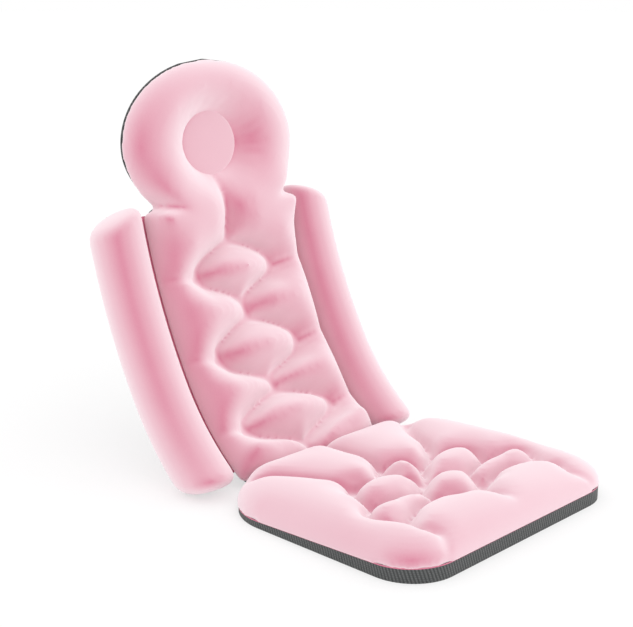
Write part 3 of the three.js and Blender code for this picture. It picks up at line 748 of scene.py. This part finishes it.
def brushed_knit():
    """Brushed polyester knit: soft, napped, with a fine grain of raised fibres and a painted sheen that
    turns it pale at low angles.
    """
    material, tree = new_material("brushed_polyester_knit")
    if tree is None:
        return material
    own = colours()
    grain = noise(tree, GRAIN, 3)
    cloud = noise(tree, CLOUD, 2)
    mixed = add_node(tree, "ShaderNodeMix", {"Factor": 0.5, 2: grain, 3: cloud}, data_type="FLOAT")
    cloth = principled(
        tree,
        {
            "Base Color": blended_colour(tree, mixed.outputs[0], own.knit, own.knit_light),
            "Roughness": 0.95,
            "Specular IOR Level": 0.1,
            "Sheen Weight": 0.1,
            "Sheen Roughness": 0.5,
            "Normal": bumped(tree, grain, strength=0.25, distance=0.4 * MM),
        },
    )
    # A pale colour is mixed in more and more as the cloth turns away from the view, which is painted sheen
    # of the nap
    turned = add_node(tree, "ShaderNodeLayerWeight", {"Blend": 0.5}).outputs["Facing"]
    sheen_share = add_node(tree, "ShaderNodeMath", {0: turned, 1: NAP_SHEEN_POWER}, operation="POWER").outputs[0]
    painted_sheen = add_node(tree, "ShaderNodeBsdfDiffuse", {"Color": tuple(own.nap_sheen), "Roughness": 0.5}).outputs[0]
    show(tree, add_node(tree, "ShaderNodeMixShader", {0: sheen_share, 1: cloth, 2: painted_sheen}).outputs[0])
    return material


def spacer_mesh():
    """Warp-knitted spacer mesh: dark ground, raised ribs with rows of knots across them, matt."""
    material, tree = new_material("warp_knitted_spacer_mesh")
    if tree is None:
        return material
    own = colours()
    pitch = sizes().rib_pitch
    # The UV map is in metres
    where = add_node(tree, "ShaderNodeUVMap", uv_map="cloth").outputs[0]
    across = {"Vector": where, "Scale": WAVE / pitch, "Distortion": 0.6, "Detail": 1}
    ribs = add_node(tree, "ShaderNodeTexWave", across, bands_direction="X").outputs["Fac"]
    along = {"Vector": where, "Scale": WAVE / (KNOT_SPACING * pitch), "Distortion": 0.8}
    rows = add_node(tree, "ShaderNodeTexWave", along, bands_direction="Y").outputs["Fac"]
    knots = add_node(tree, "ShaderNodeMath", {0: rows, 1: 0.45, 2: 0.55}, operation="MULTIPLY_ADD")
    raised = {0: ribs, 1: knots.outputs[0]}
    height = add_node(tree, "ShaderNodeMath", raised, operation="MULTIPLY").outputs[0]
    cloth = principled(
        tree,
        {
            "Base Color": blended_colour(tree, height, own.mesh_dark, own.mesh_light),
            "Roughness": 0.75,
            "IOR": 1.5,
            "Specular IOR Level": 0.3,
            "Sheen Weight": 0.15,
            "Sheen Roughness": 0.5,
            "Normal": bumped(tree, height, strength=0.7, distance=1 * MM),
        },
    )
    show(tree, cloth)
    return material


def seam_tape_and_crease_shade():
    """Turned and overlocked knit edge: the knit's colour at its strongest, with close thread ridges. On the
    wing strips this pink is painted shade in the deep crease beside the bolsters.
    """
    material, tree = new_material("overlocked_edge_and_crease_shade")
    if tree is None:
        return material
    own = colours()
    thread = noise(tree, THREAD, 2)
    cloth = principled(
        tree,
        {
            "Base Color": blended_colour(tree, thread, own.seam, own.knit),
            "Roughness": 0.85,
            "Sheen Weight": 0.2,
            "Normal": bumped(tree, thread, strength=0.5, distance=0.4 * MM),
        },
    )
    show(tree, cloth)
    return material


def clear_vinyl():
    """Injection-moulded soft vinyl: clear with a slight blue cast, glossy, a little uneven."""
    material, tree = new_material("moulded_clear_vinyl")
    if tree is None:
        return material
    flow = noise(tree, VINYL_FLOW, 2)
    vinyl = principled(
        tree,
        {
            "Base Color": tuple(colours().cup),
            "Roughness": uneven_shine(tree, flow, 0.12, 0.3),
            "IOR": 1.53,
            "Transmission Weight": 0.75,
            "Normal": bumped(tree, flow, strength=0.15, distance=0.5 * MM),
        },
    )
    show(tree, vinyl)
    return material


def nickel_plate():
    """Pressed brass with nickel plate: pale metal, softly bright, with faint press marks."""
    material, tree = new_material("pressed_nickel_plate")
    if tree is None:
        return material
    shine = uneven_shine(tree, noise(tree, PRESS_MARKS, 3), 0.18, 0.38)
    inputs = {"Base Color": tuple(colours().eyelet), "Metallic": 1.0, "Roughness": shine}
    show(tree, principled(tree, inputs))
    return material


# Pieces


def make_seat_pad():
    """The seat's quilted pad: sewn flat on its border, stuffed and set in place."""
    own = sizes()
    pad = new_object("seat_pad", flat_pad(SEAT_GRID, SEAT_DEPTH, seat_half_width, seat_top, SEAT_FLOOR))
    even_cloth(pad, own.cloth_cell)
    across, along, height = points_of(pad.data).T
    sewn = PIN_GAIN * sewn_share(SEAT_CREASES, own.pin_width, across, along, groove_rise)
    stuff(pad, np.clip(np.maximum(sewn, height < HEM_HELD), 0, 1), own.swell)

    def place(flat):
        middle = np.array((0, SEAT_DEPTH / 2, 0))
        grown = middle + (flat - middle) * (SEAT_GROWTH, SEAT_GROWTH, 1)
        return on_seat(over_fold(grown, SEAT_FOLD_HALF, own.seat_crown))

    finish_pad(pad, SEAT_CREASES, place)
    # Counting along from the rear mirrors the pad, so its faces are turned outwards again
    pad.data.flip_normals()
    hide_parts("seat_cover", "seat_core")
    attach(pad, "seat")


def make_back_pad():
    """The back's quilted pad with the head ring, sewn flat, stuffed and bent to the back."""
    own = sizes()
    pad = new_object("back_pad", flat_pad(BACK_GRID, BACK_LENGTH, back_half_width, back_top, BACK_FLOOR))
    even_cloth(pad, own.cloth_cell)
    across, along, height = points_of(pad.data).T
    sewn = PIN_GAIN * sewn_share(BACK_CREASES, own.pin_width, across, along, groove_rise)
    recess = inside_oval(across, along, RECESS_HALF_WIDTH, RECESS_HALF_HEIGHT) > -RECESS_HELD
    stuff(pad, np.clip(np.maximum(sewn, recess | (height < HEM_HELD)), 0, 1), own.swell)

    def place(flat):
        return on_back(over_fold(flat * (BACK_GROWTH, 1, 1), TORSO_HALF_WIDTH, own.back_crown))

    finish_pad(pad, BACK_CREASES, place)
    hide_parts("back_cover", "back_core")
    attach(pad, "back")


def make_recess_panel():
    """The flat knit panel in the head ring: a shallow lens on the mesh."""
    shape = bmesh.new()
    columns, rows = PANEL_SEGMENTS
    bmesh.ops.create_uvsphere(shape, u_segments=columns, v_segments=rows, radius=1)
    for vertex in shape.verts:
        across = vertex.co.x * (RECESS_HALF_WIDTH + PANEL_OVERLAP)
        along = HEAD_CENTRE + vertex.co.y * (RECESS_HALF_HEIGHT + PANEL_OVERLAP)
        flat = math.copysign(abs(vertex.co.z) ** PANEL_FLATNESS, vertex.co.z)
        vertex.co = (across, along, PANEL_MIDDLE + PANEL_HALF_THICKNESS * flat)
    panel = new_object("head_recess_pad", shape)
    finish_pad(panel, (), on_back)
    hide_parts("head_recess_panel")
    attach(panel, "back")


def make_bolster(name, side):
    """A side bolster: a spun tube with rounded ends, stuffed, bent along the back and set on the floor."""
    radius = BOLSTER_RADIUS - BOLSTER_SLACK
    foot = BOLSTER_FOOT_ROUND
    end = BOLSTER_TOP_ROUND
    low = BOLSTER_BOTTOM
    length = BOLSTER_TOP - low
    corner = [(math.sin(t), math.cos(t)) for t in np.linspace(0, math.pi / 2, BOLSTER_ROUND_STEPS)]
    profile = [(0, low), *((radius - foot + foot * s, low + foot - foot * c) for s, c in corner)]
    profile += [(radius, low + length * i / BOLSTER_ROWS) for i in range(2, BOLSTER_ROWS - 1)]
    profile += [(radius - end + end * s, BOLSTER_TOP - end + end * c) for s, c in reversed(corner)]
    profile += [(0, BOLSTER_TOP)]
    shape = spun_shape([(r, along, 0) for r, along in profile], (0, 1, 0), BOLSTER_SPIN)
    tube = new_object(f"bolster_{name}", shape)
    even_cloth(tube, sizes().cloth_cell)
    across, _, height = points_of(tube.data).T
    seam = np.hypot(across + side * radius, height - BOLSTER_SEAM_HEIGHT) < BOLSTER_SEAM_REACH
    stuff(tube, seam.astype(float), BOLSTER_SWELL)

    def place(points):
        across, along, height = points.T
        share = (along - low) / length
        lowered = BOLSTER_SLANT * share * side * across + FOOT_TILT * (1 - share) * height
        across = side * BOLSTER_ACROSS + across
        bent = on_back(np.column_stack((across, along - lowered, height - BOLSTER_DROP)))
        bent[:, 2] = np.maximum(bent[:, 2], 0)
        return bent

    finish_pad(tube, (), place)
    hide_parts(f"bolster_cover_{name}", f"bolster_fill_{name}")
    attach(tube, f"wing_{name}")


def lay_cloth_map(shape, flat_of):
    """A UV map in metres, so that a woven pattern keeps its size on a bent piece."""
    layer = shape.loops.layers.uv.new("cloth")
    for face in shape.faces:
        for loop in face.loops:
            loop[layer].uv = flat_of(loop.vert.co)


def make_back_mesh():
    """The mesh behind the back: one panel to the back's outline, bent with it."""
    shape, aside, share = unit_grid(*MESH_GRID)
    along = BACK_LENGTH * share
    turned_in = MESH_TURN_IN - MESH_HEAD_OUT * head_share(along)
    move_verts(shape, (back_half_width(along) - turned_in) * aside, along, np.full_like(along, MESH_FACE))
    lay_cloth_map(shape, lambda place: (place.x, place.y))
    panel = new_object("back_mesh", shape, spacer_mesh())
    set_points(panel.data, on_back(points_of(panel.data)))
    thicken(panel, MESH_THICKNESS, -1)
    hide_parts("back_base")
    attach(panel, "back")


def outline_shape():
    """The seat's outline as one flat face: a square with its corners rounded."""
    shape = bmesh.new()
    bmesh.ops.create_grid(shape, x_segments=1, y_segments=1, size=1)
    for vertex in shape.verts:
        front = vertex.co.y < 0
        vertex.co = (vertex.co.x * SEAT_HALF_WIDTH, SEAT_LOW.y if front else SEAT_HIGH.y, 0)
    for end, radius in ((SEAT_LOW.y, SEAT_FRONT_RADIUS), (SEAT_HIGH.y, SEAT_REAR_RADIUS)):
        corners = [vertex for vertex in shape.verts if abs(vertex.co.y - end) < MM]
        bmesh.ops.bevel(
            shape, geom=corners, offset=radius, segments=SEAT_ARC_STEPS, profile=0.5, affect="VERTICES",
            material=-1,
        )
    return shape


def make_seat_border():
    """The mesh border round the seat with its sewn edge, and the mesh panel under the seat."""
    shape = outline_shape()
    long_edges = [edge for edge in rim_of(shape) if edge.calc_length() > BORDER_LONG_EDGE]
    bmesh.ops.subdivide_edges(shape, edges=long_edges, cuts=BORDER_CUTS)
    # Each vertex keeps its run round the rim, counted from the middle of the fold
    run_at = shape.verts.layers.float.new("run")
    base = shape.faces[:]
    rim = base[0].verts[:]
    first = max(range(len(rim)), key=lambda i: rim[i].co.y - abs(rim[i].co.x))
    rim = rim[first:] + rim[:first]
    total = 0.0
    for here, there in zip(rim, rim[1:] + rim[:1]):
        here[run_at] = total
        total += (there.co - here.co).length
    edges = rim_of(shape)
    for share in BORDER_ROWS:
        made = bmesh.ops.extrude_edge_only(shape, edges=edges)
        for vertex in new_items(made, bmesh.types.BMVert):
            vertex.co.z = share * (border_top(SEAT_REAR - vertex.co.y) - BORDER_SEAM)
        edges = [edge for edge in new_items(made, bmesh.types.BMEdge) if edge.is_boundary]
    made = bmesh.ops.extrude_edge_only(shape, edges=edges)
    for vertex in new_items(made, bmesh.types.BMVert):
        vertex.co.z += 2 * BORDER_SEAM
    for face in new_items(made, bmesh.types.BMFace):
        face.material_index = 1
    bmesh.ops.recalc_face_normals(shape, faces=shape.faces)
    layer = shape.loops.layers.uv.new("cloth")
    for face in shape.faces:
        on_floor = face in base
        runs = [corner.vert[run_at] for corner in face.loops]
        wraps = max(runs) - min(runs) > total / 2
        for corner, run in zip(face.loops, runs):
            place = corner.vert.co
            if wraps and run < total / 2:
                run += total
            corner[layer].uv = (place.x, place.y) if on_floor else (run + RIB_SLANT * place.z, place.z)
    border = new_object("seat_mesh", shape, spacer_mesh(), seam_tape_and_crease_shade())
    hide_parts("seat_border", "seat_base")
    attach(border, "seat")


def make_fold_strip():
    """The mesh strip at the fold, sagging a little between seat and back."""
    half = SEAT_HALF_WIDTH - SEAT_REAR_RADIUS
    rear_edge = on_back(np.array([[0, FOLD_STRIP_LAP, -STRIP_DEPTH]]))[0]
    shape, aside, share = unit_grid(*FOLD_STRIP_GRID)
    start = SEAT_REAR - FOLD_STRIP_LAP
    sag = FOLD_STRIP_SAG * np.sin(share * math.pi)
    height = STRIP_DEPTH + (rear_edge[2] - STRIP_DEPTH) * share - sag
    move_verts(shape, half * aside, start + (rear_edge[1] - start) * share, height)
    bmesh.ops.recalc_face_normals(shape, faces=shape.faces)
    lay_cloth_map(shape, lambda place: (place.x, place.y))
    strip = new_object("fold_strip", shape, spacer_mesh())
    thicken(strip, FOLD_STRIP_THICKNESS, 0)
    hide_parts("hinge_web")
    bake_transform(strip)


def make_wing_strip(name, side):
    """The knit strip that joins a bolster to the back."""
    edge = TORSO_HALF_WIDTH - WING_STRIP_UNDER
    width = BOLSTER_ACROSS - BOLSTER_RADIUS + WING_STRIP_INTO - edge
    low = BOLSTER_BOTTOM + WING_STRIP_FOOT
    length = BOLSTER_TOP - WING_STRIP_TOP - low
    shape, aside, share = unit_grid(*WING_STRIP_GRID)
    across = side * (edge + width * (aside + 1) / 2)
    places = on_back(np.column_stack((across, low + length * share, np.full_like(share, -STRIP_DEPTH))))
    move_verts(shape, places)
    bmesh.ops.recalc_face_normals(shape, faces=shape.faces)
    # The strip takes the strong seam pink as painted shade in the deep crease between bolster and back
    strip = new_object(f"wing_strip_{name}", shape, seam_tape_and_crease_shade())
    thicken(strip, WING_STRIP_THICKNESS, 0)
    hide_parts(f"wing_web_{name}")
    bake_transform(strip)


def spun(name, profile, across, along, material):
    """A round piece from a profile of radius and height in millimetres, set square to the back."""
    shape = spun_shape([(radius * MM, 0, height * MM) for radius, height in profile], (0, 0, 1), CUP_SPIN)
    place = on_back(np.array([[across, along, 0.0]]))[0]
    turn = Matrix.Rotation(float(lean_at(np.array([along]))[0]), 4, "X")
    bmesh.ops.transform(shape, matrix=Matrix.Translation(place) @ turn, verts=shape.verts)
    return new_object(name, shape, material)


def make_cups():
    """The suction cups behind the back, each with its stud through a plated eyelet."""
    for row, (across, along) in CUP_ROWS.items():
        for name, side in (("left", -1), ("right", 1)):
            cup = spun(f"suction_cup_{row}_{name}", CUP_PROFILE, side * across, along, clear_vinyl())
            ring = spun(f"eyelet_ring_{row}_{name}", EYELET_PROFILE, side * across, along, nickel_plate())
            for piece, node, slot in ((cup, "cup", "cup"), (ring, "eyelet", "eyelet")):
                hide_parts(f"{node}_{row}_{name}")
                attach(piece, "back")


# Stage


def studio_floor():
    """Seamless matt paper: white, with the pillow's soft shadow on it."""
    material, tree = new_material("seamless_white_paper")
    if tree is None:
        return material
    seen = add_node(tree, "ShaderNodeLightPath").outputs["Is Camera Ray"]
    share = add_node(tree, "ShaderNodeMath", {0: seen, 1: PAPER_GLOW}, operation="MULTIPLY").outputs[0]
    paper = add_node(tree, "ShaderNodeBsdfDiffuse", {"Color": PAPER_WHITE}).outputs[0]
    glow = add_node(tree, "ShaderNodeEmission", {"Color": WHITE, "Strength": 1.0}).outputs[0]
    show(tree, add_node(tree, "ShaderNodeMixShader", {0: share, 1: paper, 2: glow}).outputs[0])
    return material


def add_sun(name, direction, spread, strength):
    """A broad soft light from a direction, even over the whole floor."""
    lamp = bpy.data.lights.new(name, "SUN")
    lamp.angle = math.radians(spread)
    lamp.energy = strength
    obj = bpy.data.objects.new(name, lamp)
    obj.rotation_euler = (-Vector(direction)).to_track_quat("-Z", "Y").to_euler()
    bpy.context.scene.collection.objects.link(obj)


def make_stage():
    """White floor, soft light from all round, and the camera at the photograph's angle."""
    scene = bpy.context.scene
    shape = bmesh.new()
    bmesh.ops.create_grid(shape, x_segments=1, y_segments=1, size=FLOOR_HALF)
    bmesh.ops.translate(shape, verts=shape.verts, vec=(0, 0, FLOOR_LEVEL))
    new_object("floor", shape, studio_floor())
    add_sun("key_light", (-0.5, -0.9, 0.8), spread=60, strength=0.45)
    add_sun("side_light", (1.0, -0.1, 0.7), spread=80, strength=0.25)
    world = bpy.data.worlds.new("studio")
    world.use_nodes = True
    tree = world.node_tree
    tree.nodes.clear()
    sky = add_node(tree, "ShaderNodeBackground", {"Color": WHITE, "Strength": 1.0})
    add_node(tree, "ShaderNodeOutputWorld", {"Surface": sky.outputs[0]})
    scene.world = world
    scene.view_settings.view_transform = "Standard"
    camera = bpy.data.cameras.new("camera")
    camera.sensor_width = CAMERA_SENSOR
    camera.lens = CAMERA_LENS
    eye = bpy.data.objects.new("camera", camera)
    eye.location = CAMERA_PLACE
    eye.rotation_euler = (CAMERA_AIM - CAMERA_PLACE).to_track_quat("-Z", "Y").to_euler()
    scene.collection.objects.link(eye)
    scene.camera = eye


# Add-on


class PILLOW_OT_seat_pad(bpy.types.Operator):
    """Sew and stuff the quilted seat pad"""

    bl_idname = "pillow.seat_pad"
    bl_label = "Seat Pad"

    def execute(self, context):
        make_seat_pad()
        return {"FINISHED"}


class PILLOW_OT_seat_mesh(bpy.types.Operator):
    """Make the mesh border and the mesh under the seat"""

    bl_idname = "pillow.seat_mesh"
    bl_label = "Seat Border"

    def execute(self, context):
        make_seat_border()
        return {"FINISHED"}


class PILLOW_OT_back_pad(bpy.types.Operator):
    """Sew and stuff the quilted back with its head ring and recess"""

    bl_idname = "pillow.back_pad"
    bl_label = "Back Pad"

    def execute(self, context):
        make_back_pad()
        make_recess_panel()
        return {"FINISHED"}


class PILLOW_OT_back_mesh(bpy.types.Operator):
    """Make the mesh behind the back"""

    bl_idname = "pillow.back_mesh"
    bl_label = "Back Mesh"

    def execute(self, context):
        make_back_mesh()
        return {"FINISHED"}


class PILLOW_OT_bolsters(bpy.types.Operator):
    """Sew and stuff the two side bolsters"""

    bl_idname = "pillow.bolsters"
    bl_label = "Bolsters"

    def execute(self, context):
        make_bolster("left", -1)
        make_bolster("right", 1)
        return {"FINISHED"}


class PILLOW_OT_strips(bpy.types.Operator):
    """Make the strips at the fold and beside the bolsters"""

    bl_idname = "pillow.strips"
    bl_label = "Joining Strips"

    def execute(self, context):
        make_fold_strip()
        make_wing_strip("left", -1)
        make_wing_strip("right", 1)
        return {"FINISHED"}


class PILLOW_OT_cups(bpy.types.Operator):
    """Make the suction cups and their eyelets"""

    bl_idname = "pillow.cups"
    bl_label = "Suction Cups"

    def execute(self, context):
        make_cups()
        return {"FINISHED"}


class PILLOW_OT_stage(bpy.types.Operator):
    """Set the floor, the lamps and the camera"""

    bl_idname = "pillow.stage"
    bl_label = "Stage"

    def execute(self, context):
        make_stage()
        return {"FINISHED"}


STEPS = (
    PILLOW_OT_stage,
    PILLOW_OT_seat_pad,
    PILLOW_OT_seat_mesh,
    PILLOW_OT_back_pad,
    PILLOW_OT_back_mesh,
    PILLOW_OT_bolsters,
    PILLOW_OT_strips,
    PILLOW_OT_cups,
)


class PILLOW_PT_sidebar(bpy.types.Panel):
    """Lists the pieces of the pillow with their sizes and colours"""

    bl_idname = "PILLOW_PT_sidebar"
    bl_label = "Bath Pillow"
    bl_space_type = "VIEW_3D"
    bl_region_type = "UI"
    bl_category = "Bath Pillow"

    def draw(self, context):
        for step in STEPS:
            self.layout.operator(step.bl_idname)
        for group in (context.scene.pillow_sizes, context.scene.pillow_colours):
            for name in group.__annotations__:
                self.layout.prop(group, name)


CLASSES = (PillowSizes, PillowColours, *STEPS, PILLOW_PT_sidebar)


def register():
    for item in CLASSES:
        bpy.utils.register_class(item)
    bpy.types.Scene.pillow_sizes = PointerProperty(type=PillowSizes)
    bpy.types.Scene.pillow_colours = PointerProperty(type=PillowColours)


def unregister():
    del bpy.types.Scene.pillow_colours
    del bpy.types.Scene.pillow_sizes
    for item in reversed(CLASSES):
        bpy.utils.unregister_class(item)


def main():
    register()
    bpy.ops.pillow.stage()
    bpy.ops.pillow.seat_pad()
    bpy.ops.pillow.seat_mesh()
    bpy.ops.pillow.back_pad()
    bpy.ops.pillow.back_mesh()
    bpy.ops.pillow.bolsters()
    bpy.ops.pillow.strips()
    bpy.ops.pillow.cups()


if __name__ == "__main__":
    main()
